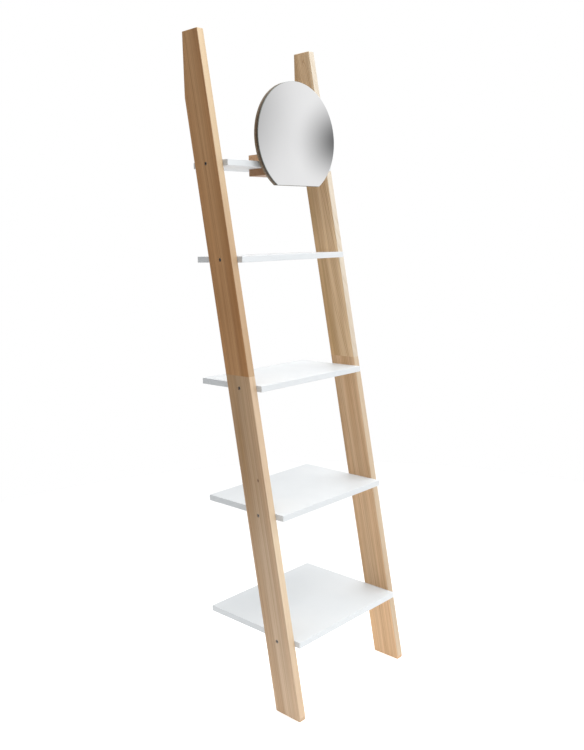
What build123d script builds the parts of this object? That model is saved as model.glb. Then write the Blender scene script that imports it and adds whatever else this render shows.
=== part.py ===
from build123d import *

import math
import os

# Leaning ladder shelf: two leaning rails of light wood, each in a lower and an upper half,
# five white boards between them, and a round mirror on a grooved block that slides along
# the top board.
#
# Frame: X runs from the left rail to the right rail, +Y points at the wall, +Z is up. The
# origin is on the floor, midway between the rails and midway from the toes to the wall.
# Millimetres and degrees.

# ---------------------------------------------------------------- overall sizes
overall_height = 1800.0
inner_width = 406.0  # clear width between the rails' inner faces
lean_angle = 9.5  # of the rails, from upright

# ---------------------------------------------------------------- rails
rail_thickness = 22.0
rail_width = 88.0  # square to the rail's length
rail_top_depth = 61.0  # front to back at the top, where the back is cut upright
joint_height = 900.0  # level saw cut between the lower and the upper half
toe_cut_height = 14.0  # the toe is cut upright up to here
rail_edge_radius = 2.0

# ---------------------------------------------------------------- boards
board_thickness = 16.0
board_overhang = 19.0  # in front of the rails' front edge, at the board's top face
board_edge_radius = 1.0
board_names = ["top_shelf", "second_shelf", "third_shelf", "fourth_shelf", "bottom_shelf"]
board_tops = [1462.0, 1211.0, 875.0, 540.0, 207.0]
board_shifts = [0.0, 0.0, 0.0, 9.0, 0.0]  # how far the board sits forward of the wall

# ---------------------------------------------------------------- board fasteners
screw_shank_diameter = 7.0
screw_head_diameter = 9.6
screw_length = 50.0
screw_tip_length = 5.0
screw_tip_diameter = 3.0
screw_head_rim = 0.5  # straight edge of the head above its cone
screw_head_sink = 1.0  # of the head below the rail's face
screw_socket_flats = 4.0
screw_socket_depth = 3.0
screw_clearance = 0.1  # radial, in the rail and in the board
screw_end_gap = 4.0
countersink_angle = 90.0

dowel_diameter = 6.0
dowel_length = 30.0
dowel_in_rail = 11.0
dowel_chamfer = 0.6
dowel_pitch = 48.0  # between the dowels in front of and behind the screw
dowel_clearance = 0.05  # radial
dowel_end_gap = 1.0

# ---------------------------------------------------------------- rail joints
stud_diameter = 8.0
stud_length = 38.0
stud_chamfer = 0.8
insert_diameter = 12.0
insert_length = 18.0
insert_sink = 0.5  # below the saw cut
joint_clearance = 0.05  # radial, stud in insert and insert in rail
joint_bore_gap = 1.5  # empty bore past each end of the stud

# ---------------------------------------------------------------- mirror
mirror_diameter = 306.0
mirror_centre_height = 1526.0
mirror_flat_below_centre = 128.0
mirror_rest_position = 37.0  # of its centre, to the right of the middle
glass_thickness = 3.0
glass_chamfer = 0.5
tape_thickness = 1.0
tape_width = 20.0
tape_pitch = 62.0
tape_margin = 14.0  # from the end of a strip to the mirror's rim
backing_thickness = 12.0
backing_edge_radius = 0.8

# ---------------------------------------------------------------- mirror holder
holder_width = 194.0
holder_web = 10.0  # wood between the groove and the backing
holder_reach = 72.0  # from the board's front edge to the end of the jaws
upper_jaw_height = 22.0
lower_jaw_height = 19.0
slide_clearance = 0.3  # above and below the board
groove_end_gap = 0.5
holder_edge_radius = 1.5
holder_screw_diameter = 4.0
holder_screw_head = 8.0
holder_screw_length = 19.0
holder_screw_tip_length = 3.0
holder_screw_tip_diameter = 1.0
holder_screw_socket_flats = 2.5
holder_screw_socket_depth = 1.5
holder_screw_pitch = 48.0
holder_screw_count = 4
holder_screw_clearance = 0.05
holder_screw_end_gap = 0.5

# ---------------------------------------------------------------- worked out
lean = math.tan(math.radians(lean_angle))
rail_level_depth = rail_width / math.cos(math.radians(lean_angle))
overall_depth = (overall_height - toe_cut_height) * lean + rail_top_depth
toe_y = -overall_depth / 2
wall_y = overall_depth / 2
inner_x = inner_width / 2
outer_x = inner_x + rail_thickness
rail_middle_x = inner_x + rail_thickness / 2
sides = {"left": -1, "right": 1}


def front_y(z):
    """The rails' front edge at height z."""
    return toe_y + (z - toe_cut_height) * lean


def back_y(z):
    """The rails' leaning back edge at height z, below the upright cut."""
    return front_y(z) + rail_level_depth


def rail_centre_y(z):
    """Midway between the rails' front and back edges at height z."""
    return (front_y(z) + back_y(z)) / 2


def board_front_y(number):
    """The front edge of a board, counted from the top."""
    return front_y(board_tops[number]) - board_overhang - board_shifts[number]


def screw_axis(number):
    """Y and Z of a board's screws: the middle of the rail and of the board."""
    z = board_tops[number] - board_thickness / 2
    return rail_centre_y(z), z


def across_x(side, y, z, x):
    """A plane square to X, x away from the middle on that side, whose normal points outwards."""
    return Plane(origin=(side * x, y, z), x_dir=(0, 1, 0), z_dir=(side, 0, 0))


knee_height = (wall_y - back_y(0)) / lean
boards = range(len(board_names))
place_margin = 1.0  # for choosing edges by where they are

os.makedirs("parts", exist_ok=True)


def save(built, name):
    """Labels a finished piece and writes it."""
    built.part.label = name
    export_step(built.part, f"parts/{name}.step")


# ---------------------------------------------------------------- rails
def rail_outline(half):
    """Corners of one half rail in Y and Z."""
    if half == "lower":
        return [
            (toe_y, 0),
            (toe_y, toe_cut_height),
            (front_y(joint_height), joint_height),
            (back_y(joint_height), joint_height),
            (back_y(0), 0),
        ]
    return [
        (front_y(joint_height), joint_height),
        (front_y(overall_height), overall_height),
        (wall_y, overall_height),
        (wall_y, knee_height),
        (back_y(joint_height), joint_height),
    ]


for side_name, side in sides.items():
    for half in ("lower", "upper"):
        away = -1 if half == "lower" else 1
        held = [n for n in boards if (board_tops[n] > joint_height) == (half == "upper")]
        with BuildPart() as rail:
            with BuildSketch(Plane.YZ.offset(side * rail_middle_x)):
                with BuildLine():
                    Polyline(*rail_outline(half), close=True)
                make_face()
            extrude(amount=rail_thickness / 2, both=True)
            # The long edges and the free end are eased, the saw cut stays sharp.
            level = rail.edges().filter_by(Axis.X)
            bends = level.filter_by(
                lambda e: toe_cut_height - place_margin < e.center().Z < overall_height - place_margin
            )
            at_cut = rail.edges().filter_by(lambda e: abs(e.center().Z - joint_height) < place_margin)
            fillet(rail.edges() - bends - at_cut, rail_edge_radius)
            for n in held:
                y, z = screw_axis(n)
                cone_start = screw_head_sink + screw_head_rim
                with Locations(across_x(side, y, z, outer_x)):
                    Hole(radius=screw_head_diameter / 2 + screw_clearance, depth=cone_start)
                with Locations(across_x(side, y, z, outer_x - cone_start)):
                    CounterSinkHole(
                        radius=screw_shank_diameter / 2 + screw_clearance,
                        counter_sink_radius=screw_head_diameter / 2 + screw_clearance,
                        depth=rail_thickness - cone_start,
                        counter_sink_angle=countersink_angle,
                    )
                for offset_y in (-dowel_pitch / 2, dowel_pitch / 2):
                    with Locations(across_x(-side, y + offset_y, z, -inner_x)):
                        Hole(
                            radius=dowel_diameter / 2 + dowel_clearance,
                            depth=dowel_in_rail + dowel_end_gap,
                        )
            cut_centre = (side * rail_middle_x, rail_centre_y(joint_height), joint_height)
            with Locations(Plane(origin=cut_centre, z_dir=(0, 0, -away))):
                CounterBoreHole(
                    radius=stud_diameter / 2 + joint_clearance,
                    counter_bore_radius=insert_diameter / 2 + joint_clearance,
                    counter_bore_depth=insert_sink + insert_length,
                    depth=stud_length / 2 + joint_bore_gap,
                )
        save(rail, f"{side_name}_rail_{half}")

# ---------------------------------------------------------------- boards
for n in boards:
    y, z = screw_axis(n)
    board_front = board_front_y(n)
    board_back = wall_y - board_shifts[n]
    screw_in_board = screw_length + screw_head_sink - rail_thickness
    dowel_in_board = dowel_length - dowel_in_rail
    with BuildPart() as board:
        with BuildSketch(Plane.XY.offset(board_tops[n])):
            with Locations((0, (board_front + board_back) / 2)):
                Rectangle(inner_width, board_back - board_front)
        extrude(amount=-board_thickness)
        fillet(board.edges().filter_by(Axis.X), board_edge_radius)
        for side in sides.values():
            with Locations(across_x(side, y, z, inner_x)):
                Hole(
                    radius=screw_shank_diameter / 2 + screw_clearance,
                    depth=screw_in_board + screw_end_gap,
                )
            for offset_y in (-dowel_pitch / 2, dowel_pitch / 2):
                with Locations(across_x(side, y + offset_y, z, inner_x)):
                    Hole(
                        radius=dowel_diameter / 2 + dowel_clearance,
                        depth=dowel_in_board + dowel_end_gap,
                    )
    save(board, board_names[n])

# ---------------------------------------------------------------- board screws and dowels
for n in boards:
    y, z = screw_axis(n)
    with BuildPart() as screws:
        for side in sides.values():
            head_centre = (side * (outer_x - screw_head_sink), y, z)
            profile_plane = Plane(origin=head_centre, x_dir=(0, 1, 0), z_dir=(0, 0, side))
            cone_height = (screw_head_diameter - screw_shank_diameter) / 2
            with BuildSketch(profile_plane):
                with BuildLine():
                    Polyline(
                        (0, 0),
                        (screw_head_diameter / 2, 0),
                        (screw_head_diameter / 2, screw_head_rim),
                        (screw_shank_diameter / 2, screw_head_rim + cone_height),
                        (screw_shank_diameter / 2, screw_length - screw_tip_length),
                        (screw_tip_diameter / 2, screw_length),
                        (0, screw_length),
                        close=True,
                    )
                make_face()
            revolve(axis=Axis(head_centre, (side, 0, 0)))
            with BuildSketch(across_x(side, y, z, outer_x - screw_head_sink)):
                RegularPolygon(screw_socket_flats / 2, 6, major_radius=False)
            extrude(amount=-screw_socket_depth, mode=Mode.SUBTRACT)
    save(screws, f"{board_names[n]}_screws")

    with BuildPart() as dowels:
        for side in sides.values():
            for offset_y in (-dowel_pitch / 2, dowel_pitch / 2):
                with BuildSketch(across_x(side, y + offset_y, z, inner_x + dowel_in_rail)):
                    Circle(dowel_diameter / 2)
                extrude(amount=-dowel_length)
        chamfer(dowels.edges().filter_by(GeomType.CIRCLE), dowel_chamfer)
    save(dowels, f"{board_names[n]}_dowels")

# ---------------------------------------------------------------- rail joints
for side_name, side in sides.items():
    cut_plane = Plane(origin=(side * rail_middle_x, rail_centre_y(joint_height), joint_height))
    with BuildPart() as stud:
        with BuildSketch(cut_plane):
            Circle(stud_diameter / 2)
        extrude(amount=stud_length / 2, both=True)
        chamfer(stud.edges().filter_by(GeomType.CIRCLE), stud_chamfer)
    save(stud, f"{side_name}_joint_stud")

    with BuildPart() as inserts:
        for away in (-1, 1):
            with BuildSketch(cut_plane.offset(away * insert_sink)):
                Circle(insert_diameter / 2)
                Circle(stud_diameter / 2 + joint_clearance, mode=Mode.SUBTRACT)
            extrude(amount=away * insert_length)
    save(inserts, f"{side_name}_joint_inserts")

# ---------------------------------------------------------------- mirror
top_front_y = board_front_y(0)
board_top = board_tops[0]
board_underside = board_top - board_thickness
groove_end_y = top_front_y - groove_end_gap
backing_back_y = groove_end_y - holder_web
tape_back_y = backing_back_y - backing_thickness
glass_back_y = tape_back_y - tape_thickness
mirror_radius = mirror_diameter / 2
mirror_flat_height = mirror_centre_height - mirror_flat_below_centre


def mirror_disc(back, thickness, eased_edge):
    """A round plate with a level flat at its foot, from its back face forward."""
    with BuildPart() as disc:
        with BuildSketch(Plane.XZ.offset(-back)):
            with Locations((mirror_rest_position, mirror_centre_height)):
                Circle(mirror_radius)
            with Locations((mirror_rest_position, mirror_flat_height - mirror_radius)):
                Rectangle(mirror_diameter, mirror_diameter, mode=Mode.SUBTRACT)
        extrude(amount=thickness)
        rims = disc.faces().sort_by(Axis.Y)
        chamfer(rims[0].edges() + rims[-1].edges(), eased_edge)
    return disc


glass = mirror_disc(glass_back_y, glass_thickness, glass_chamfer)
save(glass, "mirror_glass")

# Adhesive strips hold the glass on the backing, each as long as the mirror is wide there.
with BuildPart() as tapes:
    for row in (-1, 0, 1):
        offset_z = row * tape_pitch
        edge_z = abs(offset_z) + tape_width / 2
        half_length = math.sqrt(mirror_radius**2 - edge_z**2) - tape_margin
        with BuildSketch(Plane.XZ.offset(-tape_back_y)):
            with Locations((mirror_rest_position, mirror_centre_height + offset_z)):
                Rectangle(2 * half_length, tape_width)
        extrude(amount=tape_thickness)
save(tapes, "mirror_adhesive_strips")


def holder_screw_places():
    """X and Z of the holder's screws, in a row level with the board."""
    first = -(holder_screw_count - 1) / 2 * holder_screw_pitch
    z = board_top - board_thickness / 2
    return [(mirror_rest_position + first + i * holder_screw_pitch, z) for i in range(holder_screw_count)]


def across_y(x, z, y):
    """A plane square to Y whose normal points at the wall."""
    return Plane(origin=(x, y, z), x_dir=(1, 0, 0), z_dir=(0, 1, 0))


backing = mirror_disc(backing_back_y, backing_thickness, backing_edge_radius)
with backing:
    for x, z in holder_screw_places():
        with Locations(across_y(x, z, backing_back_y)):
            Hole(
                radius=holder_screw_diameter / 2 + holder_screw_clearance,
                depth=holder_screw_length - holder_web + holder_screw_end_gap,
            )
save(backing, "mirror_backing")

# ---------------------------------------------------------------- mirror holder
jaw_end_y = top_front_y + holder_reach
holder_top = board_top + slide_clearance + upper_jaw_height
holder_bottom = board_underside - slide_clearance - lower_jaw_height
with BuildPart() as holder:
    with BuildSketch(Plane.YZ.offset(mirror_rest_position)):
        with BuildLine():
            Polyline(
                (backing_back_y, holder_bottom),
                (backing_back_y, holder_top),
                (jaw_end_y, holder_top),
                (jaw_end_y, board_top + slide_clearance),
                (groove_end_y, board_top + slide_clearance),
                (groove_end_y, board_underside - slide_clearance),
                (jaw_end_y, board_underside - slide_clearance),
                (jaw_end_y, holder_bottom),
                close=True,
            )
        make_face()
    extrude(amount=holder_width / 2, both=True)
    outside = holder.edges().filter_by(lambda e: e.center().Y > backing_back_y + place_margin)
    groove = outside.filter_by(
        lambda e: holder_bottom + place_margin < e.center().Z < holder_top - place_margin
    )
    jaw_ends = groove.filter_by(lambda e: e.center().Y > jaw_end_y - place_margin)
    fillet(outside - groove + jaw_ends, holder_edge_radius)
    for x, z in holder_screw_places():
        with Locations(across_y(x, z, groove_end_y)):
            CounterSinkHole(
                radius=holder_screw_diameter / 2 + holder_screw_clearance,
                counter_sink_radius=holder_screw_head / 2 + holder_screw_clearance,
                depth=holder_web,
                counter_sink_angle=countersink_angle,
            )
save(holder, "mirror_holder")

with BuildPart() as holder_screws:
    for x, z in holder_screw_places():
        profile_plane = Plane(origin=(x, groove_end_y, z), x_dir=(1, 0, 0), z_dir=(0, 0, -1))
        cone_height = (holder_screw_head - holder_screw_diameter) / 2
        with BuildSketch(profile_plane):
            with BuildLine():
                Polyline(
                    (0, 0),
                    (holder_screw_head / 2, 0),
                    (holder_screw_diameter / 2, cone_height),
                    (holder_screw_diameter / 2, holder_screw_length - holder_screw_tip_length),
                    (holder_screw_tip_diameter / 2, holder_screw_length),
                    (0, holder_screw_length),
                    close=True,
                )
            make_face()
        revolve(axis=Axis((x, groove_end_y, z), (0, 1, 0)))
        with BuildSketch(across_y(x, z, groove_end_y)):
            RegularPolygon(holder_screw_socket_flats / 2, 6, major_radius=False)
        extrude(amount=-holder_screw_socket_depth, mode=Mode.SUBTRACT)
save(holder_screws, "mirror_holder_screws")
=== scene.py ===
import math

import bpy
import numpy as np
from mathutils import Matrix, Vector


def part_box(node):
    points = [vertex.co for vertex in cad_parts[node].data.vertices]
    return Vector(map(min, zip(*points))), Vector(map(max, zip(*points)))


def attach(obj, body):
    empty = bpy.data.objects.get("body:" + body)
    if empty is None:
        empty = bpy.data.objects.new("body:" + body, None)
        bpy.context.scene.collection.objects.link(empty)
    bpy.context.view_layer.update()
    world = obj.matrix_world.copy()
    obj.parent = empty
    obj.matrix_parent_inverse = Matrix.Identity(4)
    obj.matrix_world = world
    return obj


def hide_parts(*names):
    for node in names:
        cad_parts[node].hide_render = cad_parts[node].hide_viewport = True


bl_info = {
    "name": "Ladder Shelf",
    "version": (1, 0, 0),
    "blender": (4, 5, 0),
    "location": "3D View > Sidebar > Ladder Shelf",
    "description": "Finishes a leaning ladder shelf with a sliding mirror, and its stage",
    "category": "Object",
}

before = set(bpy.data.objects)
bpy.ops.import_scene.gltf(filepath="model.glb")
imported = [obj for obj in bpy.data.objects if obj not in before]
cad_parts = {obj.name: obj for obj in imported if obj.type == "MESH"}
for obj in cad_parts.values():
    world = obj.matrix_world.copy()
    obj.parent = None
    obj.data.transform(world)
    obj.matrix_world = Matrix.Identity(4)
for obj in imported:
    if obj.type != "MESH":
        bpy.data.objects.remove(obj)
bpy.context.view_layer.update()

RAIL_HALVES = ("left_rail_lower", "left_rail_upper", "right_rail_lower", "right_rail_upper")
BOARDS = ("top_shelf", "second_shelf", "third_shelf", "fourth_shelf", "bottom_shelf")
SIDES = ("left", "right")
BOARD_OVERHANG = 0.019  # from a rail's front edge to the front of the bottom board


# ---- measures taken from the frame
def box_centre(node):
    """Middle of a CAD node's box."""
    low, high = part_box(node)
    return (low + high) / 2


def rail_lean():
    """Angle of the rails from upright: the boards' front edges step back with their height."""
    top_front, bottom_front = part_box("top_shelf")[0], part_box("bottom_shelf")[0]
    return math.atan2(top_front.y - bottom_front.y, top_front.z - bottom_front.z)


def rail_front():
    """Place of the rails' leaning front edge: its distance from the origin, square to the edge."""
    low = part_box("left_rail_lower")[0]
    lean = rail_lean()
    return low.y * math.cos(lean) - toe_height() * math.sin(lean)


def toe_height():
    """Height at which the leaning front edge of a rail starts, above the small cut at its toe."""
    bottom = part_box("bottom_shelf")
    front = bottom[0].y + BOARD_OVERHANG
    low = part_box("left_rail_lower")[0]
    return bottom[1].z - (front - low.y) / math.tan(rail_lean())


# where each half was cut from the log: its heart, how far its rings run out along it and how
# strong they show; its share of darker heartwood across the rail, from the front edge at 0 to the
# back edge at 1, along its sides and its front edge at heights in metres, these shares partly
# painted shade in places, as at the right rail's foot below the bottom board; painted shade on
# its right face, darkened against the strong light from the right; and its knots with their
# radius and darkness
RAIL_WOOD = {
    "left_rail_lower": {
        "heart": (0.290, 0.020, 0.30),
        "slope": 0.012,
        "figure": 1.0,
        "across": [
            (0.0, 0.35), (0.14, 0.35), (0.25, 0.0), (0.37, 0.33),
            (0.50, 0.15), (0.64, 0.34), (0.76, 0.60), (0.90, 0.40),
        ],
        "along": [(0.12, 0.0), (0.45, 0.07), (0.62, 0.40)],
        "edge_along": [
            (0.06, 0.45), (0.16, 0.30), (0.30, 0.10), (0.48, 0.0), (0.60, 0.28), (0.85, 0.40),
        ],
        "outer": 0.0,
        "knots": [((-0.225, -0.0529, 0.628), 0.0038, 0.95)],
    },
    "left_rail_upper": {
        "heart": (0.315, -0.060, 2.10),
        "slope": 0.010,
        "figure": 1.0,
        "across": [
            (0.0, 0.60), (0.12, 0.66), (0.26, 0.48), (0.36, 0.0),
            (0.50, 0.08), (0.75, 0.10), (0.88, 0.25),
        ],
        "along": [(1.12, 0.28), (1.25, 0.14), (1.50, 0.0)],
        "edge_along": [(1.10, 0.56), (1.35, 0.38), (1.42, 0.12), (1.50, 0.0)],
        "outer": 0.0,
        "knots": [],
    },
    "right_rail_lower": {
        "heart": (-0.150, 0.045, 4.70),
        "slope": 0.030,
        "figure": 1.1,
        "across": [(0.15, 0.0), (0.30, 0.24), (0.50, 0.22), (0.70, 0.06), (0.85, 0.40)],
        # painted shade: below the bottom board the foot is darkened, as the board's shadow
        "along": [(0.15, 0.25), (0.22, 0.0)],
        "edge_along": [(0.16, 0.10), (0.25, 0.22), (0.36, 0.0)],
        # painted shade: the right face is darkened against the strong light from the right
        "outer": 0.45,
        "knots": [],
    },
    "right_rail_upper": {
        "heart": (-0.135, -0.070, 6.40),
        "slope": 0.110,
        "figure": 1.9,
        "across": [(0.33, 0.0), (0.50, 0.28), (0.70, 0.60), (0.85, 0.75)],
        "along": [(1.10, 0.18), (1.25, 0.0)],
        "edge_along": [(1.04, 0.12), (1.20, 0.0)],
        # painted shade: the right face is darkened against the strong light from the right
        "outer": 0.50,
        "knots": [((0.203, 0.1445, 1.7728), 0.0030, 0.35)],
    },
}


# ---- settings
def length(name, description, default):
    """A size in metres that a user may change."""
    return bpy.props.FloatProperty(
        name=name, description=description, default=default, min=0.0, precision=5, unit="LENGTH"
    )


def colour(name, description, default):
    """A linear colour that a user may change."""
    return bpy.props.FloatVectorProperty(
        name=name, description=description, default=default,
        size=3, min=0.0, max=1.0, subtype="COLOR",
    )


def share(name, description, default):
    """A number from 0 to 1 that a user may change."""
    return bpy.props.FloatProperty(
        name=name, description=description, default=default, min=0.0, max=1.0, subtype="FACTOR"
    )


def amount(name, description, default):
    """A plain number that a user may change."""
    return bpy.props.FloatProperty(name=name, description=description, default=default)


def angle(name, description, default):
    """An angle in radians that a user may change."""
    return bpy.props.FloatProperty(
        name=name, description=description, default=default, subtype="ANGLE", unit="ROTATION"
    )


class ShelfRailSettings(bpy.types.PropertyGroup):
    """Ash rails."""

    lean: angle("Lean", "Angle of the rails from upright", rail_lean())
    rail_width: length("Rail width", "From the front edge of a rail to its back edge", 0.088)
    front_edge: bpy.props.FloatProperty(
        name="Front edge", default=rail_front(), precision=5, unit="LENGTH",
        description="Place of the leaning front edge, square to it from the origin",
    )
    ring_spacing: length("Ring spacing", "Distance between growth rings", 0.0058)
    left_lower: colour("Left lower", "Wood of the left rail's lower half", (0.60, 0.445, 0.305))
    left_upper: colour("Left upper", "Wood of the left rail's upper half", (0.585, 0.330, 0.150))
    right_lower: colour("Right lower", "Wood of the right rail's lower half", (0.74, 0.51, 0.31))
    right_upper: colour("Right upper", "Wood of the right rail's upper half", (0.865, 0.66, 0.43))
    left_lower_edge: colour("Left lower edge", "Its front edge", (0.72, 0.57, 0.40))
    left_upper_edge: colour("Left upper edge", "Its front edge", (0.61, 0.455, 0.285))
    right_lower_edge: colour("Right lower edge", "Its front edge", (0.56, 0.43, 0.295))
    right_upper_edge: colour("Right upper edge", "Its front edge", (0.635, 0.55, 0.44))
    grain_contrast: share("Grain contrast", "How dark the porous early wood is", 0.46)
    roughness: share("Roughness", "Of the oiled surface", 0.52)


class ShelfBoardSettings(bpy.types.PropertyGroup):
    """White boards."""

    lacquer: colour("Lacquer", "Colour of the boards", (0.725, 0.75, 0.765))
    roughness: share("Roughness", "Of the satin lacquer", 0.42)
    reflection: share("Reflection", "How strongly the lacquer reflects", 0.12)


class ShelfHardwareSettings(bpy.types.PropertyGroup):
    """Screws, dowels, studs and inserts."""

    screw_core: length("Screw core", "Core diameter of a board screw", 0.0050)
    screw_pitch: length("Screw pitch", "Thread pitch of a board screw", 0.0030)
    screw_collar: length("Screw collar", "Plain length under the head of a board screw", 0.0110)
    socket_flats: length("Socket", "Across the flats of a board screw's hex socket", 0.0040)
    socket_depth: length("Socket depth", "Depth of a board screw's hex socket", 0.0030)
    stud_pitch: length("Stud pitch", "Thread pitch of a rail joint's stud", 0.00125)
    insert_pitch: length("Insert pitch", "Pitch of an insert's outer thread", 0.0030)
    flutes: bpy.props.IntProperty(
        name="Flutes", description="Flutes round a dowel", default=16, min=8
    )
    flute_depth: length("Flute depth", "Depth of a dowel's flutes", 0.00022)


class ShelfMirrorSettings(bpy.types.PropertyGroup):
    """Mirror glass, its backing and its holder."""

    arris: length("Arris", "Width of the glass's ground corner", 0.0006)
    silver: colour("Silver", "Reflection of the mirror", (0.90, 0.90, 0.905))
    glass_edge: colour("Glass edge", "Ground edge of the glass", (0.24, 0.27, 0.25))
    backing: colour("Backing", "Stained plywood", (0.165, 0.122, 0.085))
    holder: colour("Holder", "Oiled wood of the holder", (0.40, 0.235, 0.125))
    # painted light: paler colour for the holder's upper jaw, where light from above falls on it
    holder_upper_jaw_painted_light: colour("Holder painted light", "Paler wood along its upper jaw", (0.72, 0.48, 0.29))


class ShelfStageSettings(bpy.types.PropertyGroup):
    """Camera, floor and light."""

    camera_place: bpy.props.FloatVectorProperty(
        name="Camera", description="Where the camera stands", default=(-1.6556, -1.5590, 1.2528),
        size=3, subtype="TRANSLATION", unit="LENGTH",
    )
    heading: angle("Heading", "Where the camera looks, from +Y towards +X", math.radians(46.248))
    tilt: angle("Tilt", "How far the camera looks up", math.radians(-7.462))
    roll: angle("Roll", "Turn of the camera about its own line of sight", math.radians(-1.592))
    lens: amount("Lens", "Focal length in millimetres", 39.241)
    shift: amount("Shift", "Upward shift of the picture, as a share of its height", -0.0389)
    floor_reach: length("Floor", "From the middle of the floor to its edge", 2.2)
    pool: amount("Pool", "Brightness of the pool of light on the floor, in its middle", 0.60)
    pool_reach: length("Pool reach", "How far the pool of light spreads", 0.65)
    ambient: amount("Ambient", "Light from all sides", 0.10)
    from_above: amount("From above", "Light from straight above", 1.45)
    from_front: amount("From the front", "Light from straight in front", 0.50)
    from_right: amount("From the right", "Light from the right", 1.90)
    from_behind: amount("From behind", "Light from straight behind", 0.40)
    high_lamp: amount("High lamp", "Power of the lamp above the front, in watts", 20.0)


# ---- surfaces
TAU = 2 * math.pi


def band(rows):
    """Four-sided faces between neighbouring rows of corner numbers, closed round each row."""
    turned = np.roll(rows, -1, axis=1)
    quads = np.stack([rows[:-1], turned[:-1], turned[1:], rows[1:]], axis=-1)
    return quads.reshape(-1, 4).tolist()


def skin(rings, closed_on_itself=False):
    """Corners and faces of a closed skin over rings of points.

    rings is an array (ring, place round the ring, 3). Neighbouring rings are joined by
    four-sided faces, and the last place round a ring joins the first. If the skin is closed on
    itself the last ring joins the first one, as on a tube with a wall. Otherwise the first and
    the last ring end in a point at their own centre.
    """
    count, around = rings.shape[:2]
    corners = rings.reshape(-1, 3)
    index = np.arange(count * around).reshape(count, around)
    faces = band(np.concatenate([index, index[:1]]) if closed_on_itself else index)
    if not closed_on_itself:
        first, last = len(corners), len(corners) + 1
        corners = np.concatenate([corners, rings[:1].mean(axis=1), rings[-1:].mean(axis=1)])
        at_start = np.stack([np.roll(index[0], -1), index[0], np.full(around, first)], axis=-1)
        at_end = np.stack([index[-1], np.roll(index[-1], -1), np.full(around, last)], axis=-1)
        faces += at_start.tolist() + at_end.tolist()
    return corners, faces


def turned_rings(along, radius, around):
    """Rings of a turned shape: each has one distance along the axis and one radius, or one radius
    for each place round it. The axis is Z."""
    turn = np.arange(around) / around * TAU
    radius = np.asarray(radius, float).reshape(len(along), -1)
    radius = np.broadcast_to(radius, (len(along), around))
    x = radius * np.cos(turn)
    y = radius * np.sin(turn)
    z = np.broadcast_to(np.asarray(along, float)[:, None], x.shape)
    return np.stack([x, y, z], axis=-1)


def hexagon_radius(flats, around):
    """Distance from the middle of a hexagon to its outline, at each place round it."""
    turn = np.arange(around) / around * TAU
    return flats / 2 / np.cos((turn + math.pi / 6) % (math.pi / 3) - math.pi / 6)


def thread_ridge(along, turn, pitch, crest_share=0.36, peak=1.15):
    """Height of a thread, from 0 in its root to 1 on its crest: a straight-sided ridge that rises
    once in each pitch and moves one pitch along in each turn. Its peak is cut off at 1, which
    leaves a narrow flat on the crest."""
    phase = (along[:, None] / pitch - turn[None, :] / TAU) % 1.0
    return np.clip(peak - np.abs(phase - 0.5) / crest_share, 0.0, 1.0)


def placed(rings, origin, along, across):
    """Rings whose Z axis is turned along and X axis across, starting at the origin given."""
    axis_z = np.array(along, float)
    axis_x = np.array(across, float)
    axis_y = np.cross(axis_z, axis_x)
    return rings @ np.stack([axis_x, axis_y, axis_z]) + np.array(origin, float)


def build_piece(name, skins, material, crease=35.0):
    """One object at the origin from one or more skins, shaded smooth between its sharp edges."""
    corners = []
    faces = []
    for points, polygons in skins:
        start = sum(len(block) for block in corners)
        corners.append(points)
        faces += [[corner + start for corner in polygon] for polygon in polygons]
    mesh = bpy.data.meshes.new(name)
    mesh.from_pydata(np.concatenate(corners).tolist(), [], faces)
    mesh.validate()
    mesh.shade_smooth()
    mesh.set_sharp_from_angle(angle=math.radians(crease))
    piece = bpy.data.objects.new(name, mesh)
    bpy.context.scene.collection.objects.link(piece)
    mesh.materials.append(material)
    return piece


def hand_over(piece, body, slot, *nodes):
    """Fixes a new piece to its body and hides the CAD nodes it stands for."""
    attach(piece, body)
    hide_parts(*nodes)


def dress(node, material):
    """Gives a CAD node its material."""
    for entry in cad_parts[node].material_slots:
        entry.material = material


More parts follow.
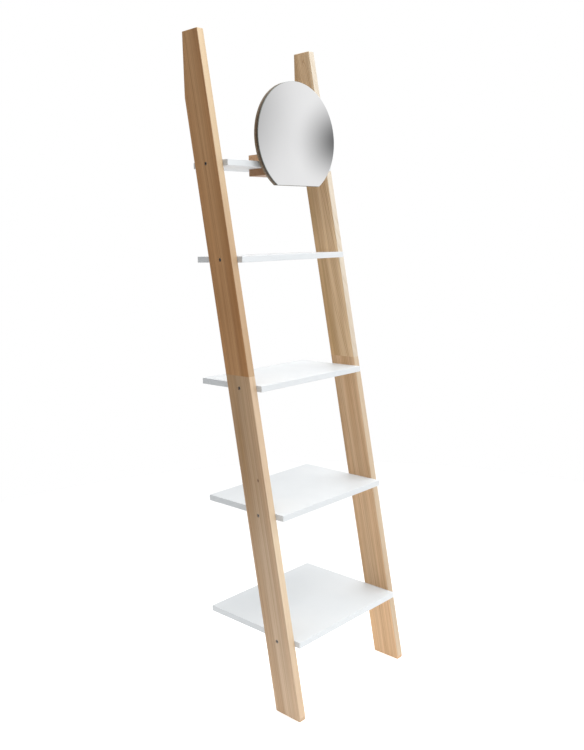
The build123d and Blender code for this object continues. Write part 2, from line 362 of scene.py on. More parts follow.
# ---- material building blocks
class Recipe:
    """Nodes of a finish or of the surroundings: each method adds nodes, sets their inputs and
    gives back the output."""

    def __init__(self, owner):
        owner.use_nodes = True
        self.owner = owner
        self.nodes = owner.node_tree.nodes
        self.links = owner.node_tree.links
        self.nodes.clear()

    def put(self, socket, value):
        """Links an output to an input, or sets the input to a constant."""
        if isinstance(value, bpy.types.NodeSocket):
            self.links.new(value, socket)
        else:
            socket.default_value = value

    def place(self, move=(0.0, 0.0, 0.0), turn=(0.0, 0.0, 0.0)):
        """Object coordinates, turned about the origin and then moved."""
        coordinates = self.nodes.new("ShaderNodeTexCoord")
        mapping = self.nodes.new("ShaderNodeMapping")
        mapping.inputs["Location"].default_value = move
        mapping.inputs["Rotation"].default_value = turn
        self.links.new(coordinates.outputs["Object"], mapping.inputs["Vector"])
        return mapping.outputs["Vector"]

    def vector(self, operation, *values, output="Vector"):
        """One step of vector arithmetic."""
        node = self.nodes.new("ShaderNodeVectorMath")
        node.operation = operation
        for socket, value in zip(node.inputs, values):
            self.put(socket, value)
        return node.outputs[output]

    def math(self, operation, *values):
        """One step of arithmetic."""
        node = self.nodes.new("ShaderNodeMath")
        node.operation = operation
        for socket, value in zip(node.inputs, values):
            self.put(socket, value)
        return node.outputs["Value"]

    def part(self, vector, axis):
        """One of X, Y and Z of a vector."""
        node = self.nodes.new("ShaderNodeSeparateXYZ")
        self.put(node.inputs["Vector"], vector)
        return node.outputs[axis]

    def stretched(self, vector, per_metre):
        """The vector counted in steps: per_metre has the steps in a metre of X, Y and Z."""
        return self.vector("MULTIPLY", vector, per_metre)

    def noise(self, vector, detail=2.0, roughness=0.5, distortion=0.0, output="Fac"):
        """Soft noise with one wave to a step."""
        node = self.nodes.new("ShaderNodeTexNoise")
        self.put(node.inputs["Vector"], vector)
        node.inputs["Scale"].default_value = 1.0
        node.inputs["Detail"].default_value = detail
        node.inputs["Roughness"].default_value = roughness
        node.inputs["Distortion"].default_value = distortion
        return node.outputs[output]

    def chance(self, number):
        """A random number from 0 to 1 for each whole number."""
        node = self.nodes.new("ShaderNodeTexWhiteNoise")
        node.noise_dimensions = "1D"
        self.put(node.inputs["W"], number)
        return node.outputs["Value"]

    def span(self, value, start, end, low=0.0, high=1.0):
        """A smooth step: low up to start, high from end on."""
        node = self.nodes.new("ShaderNodeMapRange")
        node.interpolation_type = "SMOOTHSTEP"
        for socket, number in zip(node.inputs, (value, start, end, low, high)):
            self.put(socket, number)
        return node.outputs["Result"]

    def curve(self, value, stops):
        """A grey value for each value from 0 to 1, straight between (place, grey) stops."""
        node = self.nodes.new("ShaderNodeValToRGB")
        ramp = node.color_ramp
        while len(ramp.elements) < len(stops):
            ramp.elements.new(1.0)
        for element, (place, grey) in zip(ramp.elements, stops):
            element.position = place
            element.color = (grey, grey, grey, 1.0)
        self.put(node.inputs["Fac"], value)
        return node.outputs["Color"]

    def over_height(self, height, stops, tallest=2.0):
        """A grey value for each height, straight between (height, grey) stops."""
        shares = [(stop / tallest, grey) for stop, grey in stops]
        return self.curve(self.math("DIVIDE", height, tallest), shares)

    def blend(self, share, first, second):
        """A colour between two colours."""
        node = self.nodes.new("ShaderNodeMix")
        node.data_type = "RGBA"
        for number, value in ((0, share), (6, first), (7, second)):
            value = (*value, 1.0) if isinstance(value, tuple) and len(value) == 3 else value
            self.put(node.inputs[number], value)
        return node.outputs[2]


class Finish(Recipe):
    """A material with one shader."""

    def __init__(self, name):
        super().__init__(bpy.data.materials.new(name))
        self.shader = self.nodes.new("ShaderNodeBsdfPrincipled")
        output = self.nodes.new("ShaderNodeOutputMaterial")
        self.links.new(self.shader.outputs["BSDF"], output.inputs["Surface"])

    def bump(self, height, depth, strength=1.0):
        """Relief of that depth in metres, on the shader."""
        node = self.nodes.new("ShaderNodeBump")
        node.inputs["Strength"].default_value = strength
        node.inputs["Distance"].default_value = depth
        self.put(node.inputs["Height"], height)
        self.links.new(node.outputs["Normal"], self.shader.inputs["Normal"])

    def finish(self, **sockets):
        """Sets or links the shader's sockets, named with _ for a space, and gives the material."""
        for name, value in sockets.items():
            if isinstance(value, tuple) and len(value) == 3:
                value = (*value, 1.0)
            self.put(self.shader.inputs[name.replace("_", " ")], value)
        return self.owner


def scaled(tone, *factors):
    """A colour with its red, green and blue multiplied."""
    return tuple(min(1.0, channel * factor) for channel, factor in zip(tone, factors))


# ---- materials
# the ash's patterns: steps in a metre along X and Y, across the grain, and Z, along it
SWAYS, DRIFTS, STREAKS = (4.0, 4.0, 1.3), (26.0, 26.0, 1.6), (70.0, 70.0, 1.1)
LINES, FIBRES, PORES = (170.0, 170.0, 0.8), (230.0, 230.0, 5.0), (900.0, 900.0, 42.0)
SWAY_REACH = (0.030, 0.030, 0.0)
# darkness through one growth ring, from its porous early wood to its dense late wood
ONE_RING = [(0.0, 0.9), (0.10, 1.0), (0.38, 0.30), (0.80, 0.0), (1.0, 0.35)]
# what the ash's parts make of its colour; the heartwood colours also carry painted shade
HEARTWOOD_AND_PAINTED_SHADE, EDGE_HEARTWOOD_AND_PAINTED_SHADE = (0.62, 0.485, 0.31), (0.62, 0.46, 0.36)
DRIFTED, KNOT = (1.03, 0.93, 0.82), (0.30, 0.20, 0.13)
LATE_WOOD, EARLY_WOOD = (1.08, 1.10, 1.12), (0.70, 0.60, 0.48)
MIDDLE_GREY = (0.5, 0.5, 0.5)  # the mean of a noise's colour
CROSSWISE = (1.0, 1.0, 0.0)  # drops the part along the grain
PLIES = 7
HOLDER_RING = 0.0031
# heights over which the holder's upper jaw turns paler, as painted light from above
PAINTED_LIGHT_FROM, PAINTED_LIGHT_TO = 0.050, 0.058


def ash(name, half, settings):
    """Ring-porous ash, cut from one log: growth rings about a heart that lies beside the rail,
    porous dark early wood in each ring, fine pores, darker wood towards the heart, slow drifts of
    colour along the grain, and a paler front edge. The darker shares by height are partly painted
    shade, and the right face is darkened as painted shade against the light from the right."""
    wood = Finish(name)
    tilt = (settings.lean, 0.0, 0.0)
    grain = wood.place(move=half["heart"], turn=tilt)
    sway = wood.noise(wood.stretched(grain, SWAYS), detail=2.0, output="Color")
    sway = wood.vector("SUBTRACT", sway, MIDDLE_GREY)
    sway = wood.vector("MULTIPLY", sway, SWAY_REACH)
    swayed = wood.vector("ADD", grain, sway)
    crosswise = wood.vector("MULTIPLY", swayed, CROSSWISE)
    heart_distance = wood.vector("LENGTH", crosswise, output="Value")
    run_out = wood.math("MULTIPLY", wood.part(grain, "Z"), half["slope"])
    depth = wood.math("ADD", heart_distance, run_out)
    knots = []
    for place, size, darkness in half["knots"]:
        centre = Matrix.Rotation(settings.lean, 3, "X") @ Vector(place) + Vector(half["heart"])
        offset = wood.vector("SUBTRACT", grain, tuple(centre))
        offset = wood.vector("MULTIPLY", offset, (1.0, 1.0, 0.6))
        offset = wood.vector("LENGTH", offset, output="Value")
        knots.append((offset, size, darkness))
        depth = wood.math("ADD", depth, wood.span(offset, 0.0, size * 4, size * 1.5, 0.0))
    rings = wood.math("DIVIDE", depth, settings.ring_spacing)
    early = wood.curve(wood.math("FRACT", rings), ONE_RING)
    ring_strength = wood.span(wood.chance(wood.math("FLOOR", rings)), 0.0, 1.0, 0.25, 1.0)
    early = wood.math("MULTIPLY", early, ring_strength)
    pores = wood.span(wood.noise(wood.stretched(grain, PORES), detail=1.0), 0.54, 0.68)
    pores = wood.math("MULTIPLY", pores, wood.span(early, 0.15, 0.7, 0.25, 1.0))
    fibre = wood.noise(wood.stretched(grain, FIBRES), detail=3.0, roughness=0.6)
    streak = wood.noise(wood.stretched(grain, STREAKS), detail=2.0, roughness=0.45)
    drift = wood.noise(wood.stretched(grain, DRIFTS), detail=2.0)
    tone, edge = tuple(half["tone"]), tuple(half["edge"])
    inward = wood.math("SUBTRACT", wood.part(wood.place(turn=tilt), "Y"), settings.front_edge)
    height = wood.part(wood.place(), "Z")
    across = wood.curve(wood.math("DIVIDE", inward, settings.rail_width), half["across"])
    figure = wood.span(across, 0.25, 0.55, half["figure"], 0.7)
    dark = wood.math("MULTIPLY", wood.math("MULTIPLY", early, figure), settings.grain_contrast)
    dark = wood.math("ADD", dark, wood.math("MULTIPLY", pores, 0.26))
    dark = wood.math("ADD", dark, wood.span(fibre, 0.25, 0.80, 0.22, -0.08))
    dark = wood.math("ADD", dark, wood.span(streak, 0.36, 0.66, 0.30, -0.10))
    lines = wood.noise(wood.stretched(grain, LINES), detail=1.0)
    dark = wood.math("ADD", dark, wood.span(lines, 0.30, 0.42, 0.16, 0.0))
    dark = wood.math("SUBTRACT", dark, wood.span(lines, 0.58, 0.68, 0.0, 0.22))
    # darker heartwood across the rail and by height; the shares by height are partly painted
    # shade, as at the right rail's foot below the bottom board
    heartwood_and_painted_shade = wood.math("ADD", across, wood.over_height(height, half["along"]))
    # painted shade: the right (+X) face is made darker against the strong light from the right
    inner, outer = half["faces"]
    right_face_painted_shade = wood.span(wood.part(wood.place(), "X"), inner, outer, 0.0, half["outer"])
    heartwood_and_painted_shade = wood.math("ADD", heartwood_and_painted_shade, right_face_painted_shade)
    body = wood.blend(heartwood_and_painted_shade, tone, scaled(tone, *HEARTWOOD_AND_PAINTED_SHADE))
    body = wood.blend(wood.span(drift, 0.38, 0.66, 0.0, 0.5), body, scaled(tone, *DRIFTED))
    at_edge = wood.span(inward, 0.0002, 0.0014, 1.0, 0.0)
    # the front edge's darker share by height is partly painted shade, leaving the edge paler
    # higher up where more light falls
    edge_heartwood_and_painted_shade = wood.over_height(height, half["edge_along"])
    edge = wood.blend(edge_heartwood_and_painted_shade, edge, scaled(edge, *EDGE_HEARTWOOD_AND_PAINTED_SHADE))
    body = wood.blend(at_edge, body, edge)
    calm = wood.span(at_edge, 0.0, 1.0, 1.0, 0.35)
    dark = wood.math("MULTIPLY", dark, calm)
    pale = wood.vector("MULTIPLY", body, LATE_WOOD)
    deep = wood.vector("MULTIPLY", body, EARLY_WOOD)
    shade = wood.blend(dark, pale, deep)
    for offset, size, darkness in knots:
        spot = wood.span(offset, size * 0.4, size, darkness, 0.0)
        shade = wood.blend(spot, shade, scaled(tone, *KNOT))
    relief = wood.math("MULTIPLY", pores, -0.7)
    relief = wood.math("ADD", relief, wood.math("MULTIPLY", early, -0.3))
    wood.bump(wood.math("MULTIPLY", relief, calm), 0.00012, 0.6)
    gloss = wood.span(pores, 0.0, 1.0, settings.roughness, min(1.0, settings.roughness + 0.2))
    return wood.finish(Base_Color=shade, Roughness=gloss)


def white_lacquer(name, settings, move):
    """Satin white lacquer on fibreboard: a faint orange peel, soft smudges in the gloss and a
    barely visible cloudiness."""
    paint = Finish(name)
    place = paint.place(move=move)
    cloud = paint.noise(paint.stretched(place, (7.0, 7.0, 7.0)), detail=3.0)
    smudge = paint.noise(paint.stretched(place, (22.0, 15.0, 22.0)), detail=4.0, roughness=0.6)
    peel = paint.noise(paint.stretched(place, (700.0, 700.0, 700.0)), detail=2.0)
    tone = tuple(settings.lacquer)
    colour_out = paint.blend(paint.span(cloud, 0.3, 0.7), tone, scaled(tone, 0.975, 0.98, 0.985))
    paint.bump(peel, 0.00002, 0.5)
    gloss = paint.span(smudge, 0.35, 0.7, settings.roughness - 0.04, settings.roughness + 0.08)
    return paint.finish(
        Base_Color=colour_out, Roughness=gloss, Specular_IOR_Level=settings.reflection
    )


def metal_finish(name, wear_steps, spot_steps, wear_detail, clean, dull, gloss):
    """Metal with cloudy wear in its colour, and spots in its relief and gloss. wear_steps and
    spot_steps are the noises' steps in a metre, and gloss is the lowest and highest roughness."""
    metal = Finish(name)
    place = metal.place()
    spots = metal.noise(metal.stretched(place, (spot_steps,) * 3), detail=3.0)
    wear = metal.noise(metal.stretched(place, (wear_steps,) * 3), detail=wear_detail)
    shade = metal.blend(metal.span(wear, 0.35, 0.7), clean, dull)
    metal.bump(spots, 0.00002, 0.4)
    roughness = metal.span(spots, 0.3, 0.7, *gloss)
    return metal.finish(Base_Color=shade, Metallic=1.0, Roughness=roughness)


def zinc():
    """Dulled zinc plate: cloudy, with duller spots."""
    clean, dull = (0.29, 0.27, 0.25), (0.18, 0.165, 0.15)
    return metal_finish("zinc_plate", 90.0, 420.0, 2.0, clean, dull, (0.26, 0.44))


def brass():
    """Plain turned brass with a light tarnish."""
    clean, dull = (0.80, 0.60, 0.26), (0.52, 0.36, 0.15)
    return metal_finish("turned_brass", 160.0, 160.0, 3.0, clean, dull, (0.24, 0.42))


def beech():
    """Raw beech for the dowels, its grain along X with short dark flecks."""
    wood = Finish("raw_beech")
    place = wood.place()
    fibre = wood.noise(wood.stretched(place, (25.0, 900.0, 900.0)), detail=3.0, roughness=0.6)
    flecks = wood.noise(wood.stretched(place, (220.0, 1500.0, 1500.0)), detail=1.0)
    shade = wood.blend(wood.span(fibre, 0.3, 0.7), (0.66, 0.44, 0.25), (0.50, 0.31, 0.16))
    shade = wood.blend(wood.span(flecks, 0.60, 0.70, 0.0, 0.6), shade, (0.30, 0.16, 0.08))
    wood.bump(fibre, 0.00006, 0.5)
    return wood.finish(Base_Color=shade, Roughness=wood.span(fibre, 0.2, 0.8, 0.55, 0.75))


def plywood(settings):
    """Stained plywood: thin plies across the edge, every second one end grain, and a face veneer
    whose grain runs across the disc."""
    low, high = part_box("mirror_backing")
    wood = Finish("stained_plywood")
    place = wood.place(move=(0.0, -low.y, 0.0))
    depth = wood.math("DIVIDE", wood.part(place, "Y"), high.y - low.y)
    plies = wood.math("MULTIPLY", depth, PLIES)
    waver = wood.noise(wood.stretched(place, (30.0, 30.0, 30.0)), detail=2.0)
    plies = wood.math("ADD", plies, wood.math("MULTIPLY", waver, 0.25))
    end_grain = wood.span(wood.math("PINGPONG", plies, 1.0), 0.40, 0.60)
    veneer = wood.noise(wood.stretched(place, (9.0, 60.0, 420.0)), detail=4.0, roughness=0.65)
    figure = wood.noise(wood.stretched(place, (5.0, 5.0, 60.0)), detail=3.0, distortion=0.8)
    tone = tuple(settings.backing)
    front, rear = scaled(tone, 0.62, 0.56, 0.50), scaled(tone, 1.45, 1.55, 1.45)
    body = wood.blend(wood.span(depth, 0.35, 0.55), front, rear)
    pale = wood.vector("MULTIPLY", body, (1.40, 1.42, 1.45))
    deep = wood.vector("MULTIPLY", body, (0.80, 0.76, 0.72))
    shade = wood.blend(wood.span(veneer, 0.3, 0.72), pale, deep)
    figured = wood.vector("MULTIPLY", body, (0.65, 0.60, 0.55))
    shade = wood.blend(wood.span(figure, 0.4, 0.7, 0.0, 0.5), shade, figured)
    cut_fibres = wood.vector("MULTIPLY", body, (0.60, 0.56, 0.54))
    shade = wood.blend(wood.math("MULTIPLY", end_grain, 0.35), shade, cut_fibres)
    wood.bump(veneer, 0.00010, 0.5)
    return wood.finish(Base_Color=shade, Roughness=wood.span(veneer, 0.3, 0.7, 0.42, 0.58))


def holder_wood(settings):
    """Oiled close-grained wood whose grain runs along the holder; its upper jaw is painted paler,
    as painted light from above.
    """
    centre = box_centre("mirror_holder")
    wood = Finish("oiled_holder_wood")
    place = wood.place(move=(-centre.x, 0.09 - centre.y, 0.05 - centre.z))
    sway = wood.noise(wood.stretched(place, (5.0, 12.0, 12.0)), detail=2.0, output="Color")
    sway = wood.vector("SUBTRACT", sway, MIDDLE_GREY)
    sway = wood.vector("MULTIPLY", sway, (0.0, 0.010, 0.010))
    section = wood.vector("MULTIPLY", wood.vector("ADD", place, sway), (0.0, 1.0, 1.0))
    rings = wood.math("DIVIDE", wood.vector("LENGTH", section, output="Value"), HOLDER_RING)
    one_ring = [(0.0, 0.2), (0.6, 0.35), (0.92, 1.0), (1.0, 0.2)]
    late = wood.curve(wood.math("FRACT", rings), one_ring)
    fibre = wood.noise(wood.stretched(place, (14.0, 700.0, 700.0)), detail=3.0, roughness=0.6)
    tone = tuple(settings.holder)
    # painted light: the upper jaw is made paler, as light from above falls on it
    upper = wood.span(wood.part(place, "Z"), PAINTED_LIGHT_FROM, PAINTED_LIGHT_TO)
    body = wood.blend(upper, tone, tuple(settings.holder_upper_jaw_painted_light))
    dark = wood.math("MULTIPLY", late, 0.45)
    dark = wood.math("ADD", dark, wood.span(fibre, 0.3, 0.75, 0.0, 0.5))
    pale = wood.vector("MULTIPLY", body, (1.12, 1.15, 1.20))
    deep = wood.vector("MULTIPLY", body, (0.66, 0.56, 0.46))
    shade = wood.blend(dark, pale, deep)
    wood.bump(fibre, 0.00008, 0.5)
    return wood.finish(Base_Color=shade, Roughness=wood.span(fibre, 0.2, 0.8, 0.40, 0.56))


def silvering(settings):
    """Silvered glass: a clean mirror with a faint film that softens it here and there."""
    mirror = Finish("silvered_glass")
    film = mirror.noise(mirror.stretched(mirror.place(), (14.0, 14.0, 9.0)), detail=3.0)
    tone = tuple(settings.silver)
    filmed = scaled(tone, 0.985, 0.985, 0.985)
    return mirror.finish(
        Base_Color=mirror.blend(mirror.span(film, 0.3, 0.7), tone, filmed),
        Metallic=1.0,
        Roughness=mirror.span(film, 0.35, 0.75, 0.015, 0.04),
    )


def ground_glass(settings):
    """The ground edge of the glass, frosted and faintly green."""
    edge = Finish("ground_glass_edge")
    grit = edge.noise(edge.stretched(edge.place(), (900.0, 900.0, 900.0)), detail=2.0)
    tone = tuple(settings.glass_edge)
    edge.bump(grit, 0.00003, 0.5)
    return edge.finish(
        Base_Color=edge.blend(edge.span(grit, 0.3, 0.7), tone, scaled(tone, 0.85, 0.9, 0.88)),
        Roughness=edge.span(grit, 0.3, 0.7, 0.18, 0.34),
    )


def foam():
    """Closed-cell foam tape."""
    tape = Finish("foam_tape")
    cells = tape.noise(tape.stretched(tape.place(), (1500.0, 1500.0, 1500.0)), detail=2.0)
    tape.bump(cells, 0.00005, 0.7)
    shade = tape.blend(tape.span(cells, 0.3, 0.7), (0.78, 0.78, 0.76), (0.62, 0.62, 0.60))
    return tape.finish(Base_Color=shade, Roughness=tape.span(cells, 0.3, 0.7, 0.75, 0.9))


def studio_floor(settings):
    """Seamless pale paper with a pool of light on it, brightest in the middle. The pool falls
    off as the bell curve e to the minus (distance / reach) squared."""
    paper = Finish("studio_paper")
    place = paper.place()
    fibre = paper.noise(paper.stretched(place, (60.0, 60.0, 60.0)), detail=3.0)
    distance = paper.vector("LENGTH", place, output="Value")
    steps = paper.math("DIVIDE", distance, settings.pool_reach)
    squared = paper.math("MULTIPLY", steps, steps)
    bell = paper.math("EXPONENT", paper.math("MULTIPLY", squared, -1.0))
    return paper.finish(
        Base_Color=paper.blend(fibre, (0.90, 0.90, 0.90), (0.88, 0.88, 0.88)),
        Roughness=0.9,
        Emission_Color=(1.0, 1.0, 1.0),
        Emission_Strength=paper.math("MULTIPLY", bell, settings.pool),
    )


# ---- operators
class SHELF_OT_rails(bpy.types.Operator):
    """Finish the four rail halves in ash, each cut from its own place in the log"""

    bl_idname = "ladder_shelf.rails"
    bl_label = "Finish Rails"

    def execute(self, context):
        settings = context.scene.shelf_rails
        for node in RAIL_HALVES:
            key = node.replace("_rail", "")
            low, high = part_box(node)
            tones = {"tone": getattr(settings, key), "edge": getattr(settings, f"{key}_edge")}
            half = {**RAIL_WOOD[node], **tones, "faces": (low.x, high.x)}
            dress(node, ash(f"ash_{key}", half, settings))
        return {"FINISHED"}


class SHELF_OT_boards(bpy.types.Operator):
    """Finish the five boards in white lacquer"""

    bl_idname = "ladder_shelf.boards"
    bl_label = "Finish Boards"

    def execute(self, context):
        settings = context.scene.shelf_boards
        for number, node in enumerate(BOARDS):
            move = (0.7 * number, 0.4 * number, 0.0)
            dress(node, white_lacquer(f"white_lacquer_{node}", settings, move))
        return {"FINISHED"}


class SHELF_OT_board_screws(bpy.types.Operator):
    """Turn the board screws: a sunk head with a hex socket, a plain collar, a coarse thread"""

    bl_idname = "ladder_shelf.board_screws"
    bl_label = "Make Board Screws"

    def execute(self, context):
        settings = context.scene.shelf_hardware
        material = zinc()
        for node in BOARDS:
            low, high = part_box(f"{node}_screws")
            head = (high.z - low.z) / 2
            middle = (low + high) / 2
            screw = self.screw_rings(settings, head)
            skins = [
                skin(placed(screw, (x, middle.y, middle.z), (toward, 0, 0), (0, 0, 1)))
                for x, toward in ((low.x, 1), (high.x, -1))
            ]
            piece = build_piece(f"{node}_screw_pair", skins, material)
            hand_over(piece, "frame", "zinc_steel", f"{node}_screws")
        return {"FINISHED"}

    @staticmethod
    def screw_rings(settings, head, length=0.050, shank=0.0035, rim=0.0005, tip=0.005, around=24):
        """Rings from the bottom of the socket out over the head, and down the thread to the tip.

        The socket's rings are hexagons and the others circles. On the thread, the radius is the
        core's plus the ridge height times the thread's depth."""
        turn = np.arange(around) / around * TAU
        hexagon = hexagon_radius(settings.socket_flats, around)
        core = settings.screw_core / 2
        steps = np.arange(settings.screw_collar, length - tip, settings.screw_pitch / 12)
        fade = np.clip((steps - settings.screw_collar) / settings.screw_pitch, 0, 1)[:, None]
        thread = core + (shank - core) * thread_ridge(steps, turn, settings.screw_pitch) * fade
        ends = np.array([length - tip, length - 0.0008, length])
        plain_along = [settings.socket_depth, settings.socket_depth, 0.0002, 0.0, 0.0, 0.0003, rim]
        plain_radius = [hexagon * 0.1, hexagon, hexagon, hexagon * 1.08, head - 0.0003, head, head]
        collar = settings.screw_collar
        plain_along += [rim + head - shank, collar - 0.001, collar - 0.0002]
        plain_radius += [shank, shank, core]
        tip_radius = [core, core * 0.75, core * 0.55]
        along = np.concatenate([plain_along, steps, ends])
        radius = np.concatenate(
            [
                np.stack([np.broadcast_to(r, (around,)) for r in plain_radius]),
                thread,
                np.stack([np.full(around, r) for r in tip_radius]),
            ]
        )
        return turned_rings(along, radius, around)


class SHELF_OT_dowels(bpy.types.Operator):
    """Make the fluted dowels beside the board screws"""

    bl_idname = "ladder_shelf.dowels"
    bl_label = "Make Dowels"

    def execute(self, context):
        settings = context.scene.shelf_hardware
        material = beech()
        for node in BOARDS:
            low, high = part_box(f"{node}_dowels")
            radius = (high.z - low.z) / 2
            middle_z = (low.z + high.z) / 2
            dowel = self.dowel_rings(settings, radius)
            skins = [
                skin(placed(dowel, (x, y, middle_z), (toward, 0, 0), (0, 0, 1)))
                for x, toward in ((low.x, 1), (high.x, -1))
                for y in (low.y + radius, high.y - radius)
            ]
            piece = build_piece(f"{node}_fluted_dowels", skins, material, crease=50.0)
            hand_over(piece, "frame", "dowel_wood", f"{node}_dowels")
        return {"FINISHED"}

    @staticmethod
    def dowel_rings(settings, radius, length=0.030, chamfer=0.0006):
        """Rings of a round pin with chamfered ends. At each flute its radius dips by the fourth
        power of a cosine."""
        around = settings.flutes * 6
        turn = np.arange(around) / around * TAU
        dip = settings.flute_depth * np.abs(np.cos(turn * settings.flutes / 2)) ** 4
        middle = np.linspace(0.002, length - 0.002, 8)
        along = np.array([0.0, 0.0, chamfer, *middle, length - chamfer, length, length])
        inset = np.array([radius * 0.6, chamfer, 0.0, *np.zeros(8), 0.0, chamfer, radius * 0.6])
        return turned_rings(along, radius - inset[:, None] - dip[None, :], around)


class SHELF_OT_rail_joints(bpy.types.Operator):
    """Make the threaded studs across the saw cuts and the inserts they run into"""

    bl_idname = "ladder_shelf.rail_joints"
    bl_label = "Make Rail Joints"

    def execute(self, context):
        settings = context.scene.shelf_hardware
        steel, turned = zinc(), brass()
        for side in SIDES:
            low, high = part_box(f"{side}_joint_stud")
            middle = (low + high) / 2
            stud = self.stud_rings(settings, (high.x - low.x) / 2, high.z - low.z)
            stud = placed(stud, (middle.x, middle.y, low.z), (0, 0, 1), (1, 0, 0))
            piece = build_piece(f"{side}_threaded_stud", [skin(stud)], steel)
            hand_over(piece, "frame", "zinc_steel", f"{side}_joint_stud")

            insert_low, insert_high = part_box(f"{side}_joint_inserts")
            outer = (insert_high.x - insert_low.x) / 2
            clearance, gap = 0.00005, 0.001
            bore = (high.x - low.x) / 2 + clearance
            tall = (insert_high.z - insert_low.z - gap) / 2
            insert = self.insert_rings(settings, outer, bore, tall)
            turned_up, turned_down = (
                placed(insert, (middle.x, middle.y, z), (0, 0, up), (1, 0, 0))
                for z, up in ((insert_low.z, 1), (insert_high.z, -1))
            )
            skins = [skin(rings, closed_on_itself=True) for rings in (turned_up, turned_down)]
            piece = build_piece(f"{side}_threaded_inserts", skins, turned)
            hand_over(piece, "frame", "brass_insert", f"{side}_joint_inserts")
        return {"FINISHED"}

    @staticmethod
    def stud_rings(settings, radius, length, around=24, chamfer=0.0008, depth=0.0007):
        """Rings of a rod with a fine thread, whose radius falls from the crest by the thread's
        depth and narrows evenly at the chamfered ends."""
        turn = np.arange(around) / around * TAU
        steps = np.arange(0.0, length, settings.stud_pitch / 8)
        steps = np.append(steps, length)
        ends = np.minimum(steps, length - steps)
        crest = radius - np.clip(chamfer - ends, 0, None)[:, None]
        thread = radius - depth + depth * thread_ridge(steps, turn, settings.stud_pitch, 0.45)
        return turned_rings(steps, np.minimum(crest, thread), around)

    @staticmethod
    def insert_rings(settings, outer, bore, length, around=24, depth=0.0011):
        """Rings round an insert's wall, up its threaded outside and back down its bore."""
        turn = np.arange(around) / around * TAU
        steps = np.arange(0.0006, length - 0.0006, settings.insert_pitch / 12)
        outside = outer - depth + depth * thread_ridge(steps, turn, settings.insert_pitch, 0.22)
        edge = np.full((1, around), outer - depth)
        inside = np.full((3, around), bore)
        along = np.concatenate([[0.0], steps, [length, length, length / 2, 0.0]])
        return turned_rings(along, np.concatenate([edge, outside, edge, inside]), around)


class SHELF_OT_mirror(bpy.types.Operator):
    """Cut the mirror glass with its ground edge, and finish its strips and backing"""

    bl_idname = "ladder_shelf.mirror"
    bl_label = "Make Mirror"

    def execute(self, context):
        settings = context.scene.shelf_mirror
        low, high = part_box("mirror_glass")
        radius = (high.x - low.x) / 2
        centre = Vector(((low.x + high.x) / 2, 0.0, high.z - radius))
        drop = centre.z - low.z
        thick, arris = high.y - low.y, settings.arris
        depths = np.array([0.0, 0.0, arris, thick / 2, thick - arris, thick, thick])
        insets = np.array([radius * 0.5, arris, 0.0, 0.0, 0.0, arris, radius * 0.5])
        rings = self.disc_rings(radius, drop, high.y - depths, insets, centre)
        pane = build_piece("mirror_pane", [skin(rings)], silvering(settings), crease=25.0)
        pane.data.materials.append(ground_glass(settings))
        normals = np.zeros(len(pane.data.polygons) * 3)
        pane.data.polygons.foreach_get("normal", normals)
        on_edge = np.abs(normals.reshape(-1, 3)[:, 1]) < 0.9
        pane.data.polygons.foreach_set("material_index", on_edge.astype(np.int32))
        hand_over(pane, "mirror", "mirror_glass", "mirror_glass")
        dress("mirror_adhesive_strips", foam())
        dress("mirror_backing", plywood(settings))
        return {"FINISHED"}

    @staticmethod
    def disc_rings(radius, drop, depths, insets, centre, on_arc=160, on_flat=24):
        """Outlines of a round plate with a level flat at its foot, one for each depth and inset.

        Each outline is an arc from the flat's right end over the top to its left end, and then
        the flat back to the right. An inset makes the arc's radius and the flat's drop smaller."""
        rings = []
        for depth, inset in zip(depths, insets):
            arc_radius, flat_drop = radius - inset, drop - inset * drop / radius
            start = -math.asin(flat_drop / arc_radius)
            turn = np.linspace(start, math.pi - start, on_arc)
            half = arc_radius * math.cos(start)
            flat_x = np.linspace(-half, half, on_flat + 2)[1:-1]
            x = np.concatenate([arc_radius * np.cos(turn), flat_x])
            z = np.concatenate([arc_radius * np.sin(turn), np.full(on_flat, -flat_drop)])
            rings.append(np.stack([x + centre.x, np.full(len(x), depth), z + centre.z], axis=-1))
        return np.stack(rings)


class SHELF_OT_holder(bpy.types.Operator):
    """Finish the mirror's holder and its screws"""

    bl_idname = "ladder_shelf.holder"
    bl_label = "Make Holder"

    def execute(self, context):
        dress("mirror_holder", holder_wood(context.scene.shelf_mirror))
        dress("mirror_holder_screws", zinc())
        return {"FINISHED"}


# where the surroundings are dim: direction, how far round it the dimming is full and where it
# ends, as distances between unit directions, and the share of the light that is left
DIM_PLACES = (
    ((0.727, -0.677, 0.117), 0.10, 0.34, 0.66),
    ((0.626, -0.763, 0.159), 0.0, 0.150, 0.05),
    ((0.762, -0.638, 0.113), 0.0, 0.061, 0.126),
)
LAMP_PLACE, LAMP_TARGET = (0.1, -1.3, 2.9), (0.0, 0.0, 1.5)


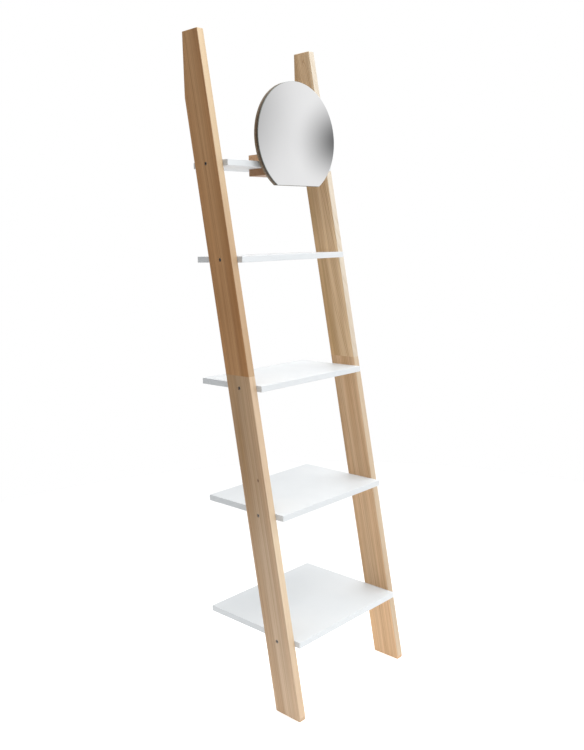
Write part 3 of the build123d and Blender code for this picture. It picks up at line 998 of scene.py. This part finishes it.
class SHELF_OT_stage(bpy.types.Operator):
    """Set the camera, the floor and the soft studio light"""

    bl_idname = "ladder_shelf.stage"
    bl_label = "Set Stage"

    def execute(self, context):
        settings = context.scene.shelf_stage
        self.camera(context, settings)
        self.floor(context, settings)
        self.light(context, settings)
        context.scene.view_settings.view_transform = "Standard"
        return {"FINISHED"}

    @staticmethod
    def camera(context, settings):
        """Looks along the heading, tilted and rolled."""
        heading, tilt, roll = settings.heading, settings.tilt, settings.roll
        level_share = math.cos(tilt)
        ahead = Vector(
            (math.sin(heading) * level_share, math.cos(heading) * level_share, math.sin(tilt))
        )
        level = Vector((math.cos(heading), -math.sin(heading), 0.0))
        upright = level.cross(ahead)
        right = math.cos(roll) * level + math.sin(roll) * upright
        up = -math.sin(roll) * level + math.cos(roll) * upright
        data = bpy.data.cameras.new("camera")
        data.lens = settings.lens
        data.shift_y = settings.shift
        camera = bpy.data.objects.new("camera", data)
        camera.matrix_world = Matrix.Translation(settings.camera_place) @ Matrix(
            (right, up, -ahead)
        ).transposed().to_4x4()
        context.scene.collection.objects.link(camera)
        context.scene.camera = camera

    @staticmethod
    def floor(context, settings):
        """A round sheet of paper on the floor: rings of points whose radius grows evenly."""
        around, steps = 96, 24
        turn = np.arange(around) / around * TAU
        radius = np.linspace(settings.floor_reach, settings.floor_reach / steps, steps)
        x, y = radius[:, None] * np.cos(turn), radius[:, None] * np.sin(turn)
        rings = np.stack([x, y, np.zeros_like(x)], axis=-1)
        index = np.arange(steps * around).reshape(steps, around)
        faces = band(index) + [index[-1].tolist()]
        mesh = bpy.data.meshes.new("studio_floor")
        mesh.from_pydata(rings.reshape(-1, 3).tolist(), [], faces)
        mesh.materials.append(studio_floor(settings))
        floor = bpy.data.objects.new("studio_floor", mesh)
        context.scene.collection.objects.link(floor)

    @staticmethod
    def light(context, settings):
        """White surroundings behind the object, soft light from the sides that are named, each as
        the square of the cosine to it, and one lamp above the front.

        The surroundings dim softly front right, which only shows in the mirror."""
        world = bpy.data.worlds.new("studio")
        context.scene.world = world
        sky = Recipe(world)
        ray = sky.nodes.new("ShaderNodeTexCoord").outputs["Generated"]
        brightness = settings.ambient
        for axis, sign, strength in (
            ("Z", 1.0, settings.from_above),
            ("Y", -1.0, settings.from_front),
            ("X", 1.0, settings.from_right),
            ("Y", 1.0, settings.from_behind),
        ):
            cosine = sky.math("MAXIMUM", sky.math("MULTIPLY", sky.part(ray, axis), sign), 0.0)
            share_of_side = sky.math("MULTIPLY", sky.math("MULTIPLY", cosine, cosine), strength)
            brightness = sky.math("ADD", brightness, share_of_side)
        for toward, core, reach, left_over in DIM_PLACES:
            distance = sky.vector("DISTANCE", ray, toward, output="Value")
            left = sky.span(distance, core, reach, left_over, 1.0)
            brightness = sky.math("MULTIPLY", brightness, left)
        output = sky.nodes.new("ShaderNodeOutputWorld")
        mix = sky.nodes.new("ShaderNodeMixShader")
        backdrop = sky.nodes.new("ShaderNodeBackground")
        soft = sky.nodes.new("ShaderNodeBackground")
        for background in (backdrop, soft):
            background.inputs["Color"].default_value = (1.0, 1.0, 1.0, 1.0)
        sky.put(soft.inputs["Strength"], brightness)
        seen = sky.nodes.new("ShaderNodeLightPath")
        sky.links.new(seen.outputs["Is Camera Ray"], mix.inputs[0])
        sky.links.new(soft.outputs[0], mix.inputs[1])
        sky.links.new(backdrop.outputs[0], mix.inputs[2])
        sky.links.new(mix.outputs[0], output.inputs["Surface"])

        data = bpy.data.lights.new("high_lamp", "AREA")
        data.size = 1.0
        data.energy = settings.high_lamp
        lamp = bpy.data.objects.new("high_lamp", data)
        lamp.location = LAMP_PLACE
        aim = Vector(LAMP_TARGET) - lamp.location
        lamp.rotation_euler = aim.to_track_quat("-Z", "Y").to_euler()
        lamp.visible_camera = False
        context.scene.collection.objects.link(lamp)


class SHELF_PT_panel(bpy.types.Panel):
    """The shelf's pieces and their sizes and colours"""

    bl_idname = "SHELF_PT_panel"
    bl_label = "Ladder Shelf"
    bl_space_type = "VIEW_3D"
    bl_region_type = "UI"
    bl_category = "Ladder Shelf"

    def draw(self, context):
        for group in SETTINGS:
            settings = getattr(context.scene, group)
            box = self.layout.box()
            for name in settings.__annotations__:
                box.prop(settings, name)
        for operator in OPERATORS:
            self.layout.operator(operator.bl_idname)


SETTINGS = {
    "shelf_rails": ShelfRailSettings,
    "shelf_boards": ShelfBoardSettings,
    "shelf_hardware": ShelfHardwareSettings,
    "shelf_mirror": ShelfMirrorSettings,
    "shelf_stage": ShelfStageSettings,
}
OPERATORS = (
    SHELF_OT_rails,
    SHELF_OT_boards,
    SHELF_OT_board_screws,
    SHELF_OT_dowels,
    SHELF_OT_rail_joints,
    SHELF_OT_mirror,
    SHELF_OT_holder,
    SHELF_OT_stage,
)


def register():
    """Registers the settings, the operators and the panel."""
    for name, group in SETTINGS.items():
        bpy.utils.register_class(group)
        setattr(bpy.types.Scene, name, bpy.props.PointerProperty(type=group))
    for entry in (*OPERATORS, SHELF_PT_panel):
        bpy.utils.register_class(entry)


def unregister():
    """Takes the panel, the operators and the settings away again."""
    for entry in (SHELF_PT_panel, *reversed(OPERATORS)):
        bpy.utils.unregister_class(entry)
    for name, group in reversed(SETTINGS.items()):
        delattr(bpy.types.Scene, name)
        bpy.utils.unregister_class(group)


def main():
    register()
    bpy.ops.ladder_shelf.rails()
    bpy.ops.ladder_shelf.boards()
    bpy.ops.ladder_shelf.board_screws()
    bpy.ops.ladder_shelf.dowels()
    bpy.ops.ladder_shelf.rail_joints()
    bpy.ops.ladder_shelf.mirror()
    bpy.ops.ladder_shelf.holder()
    bpy.ops.ladder_shelf.stage()


if __name__ == "__main__":
    main()
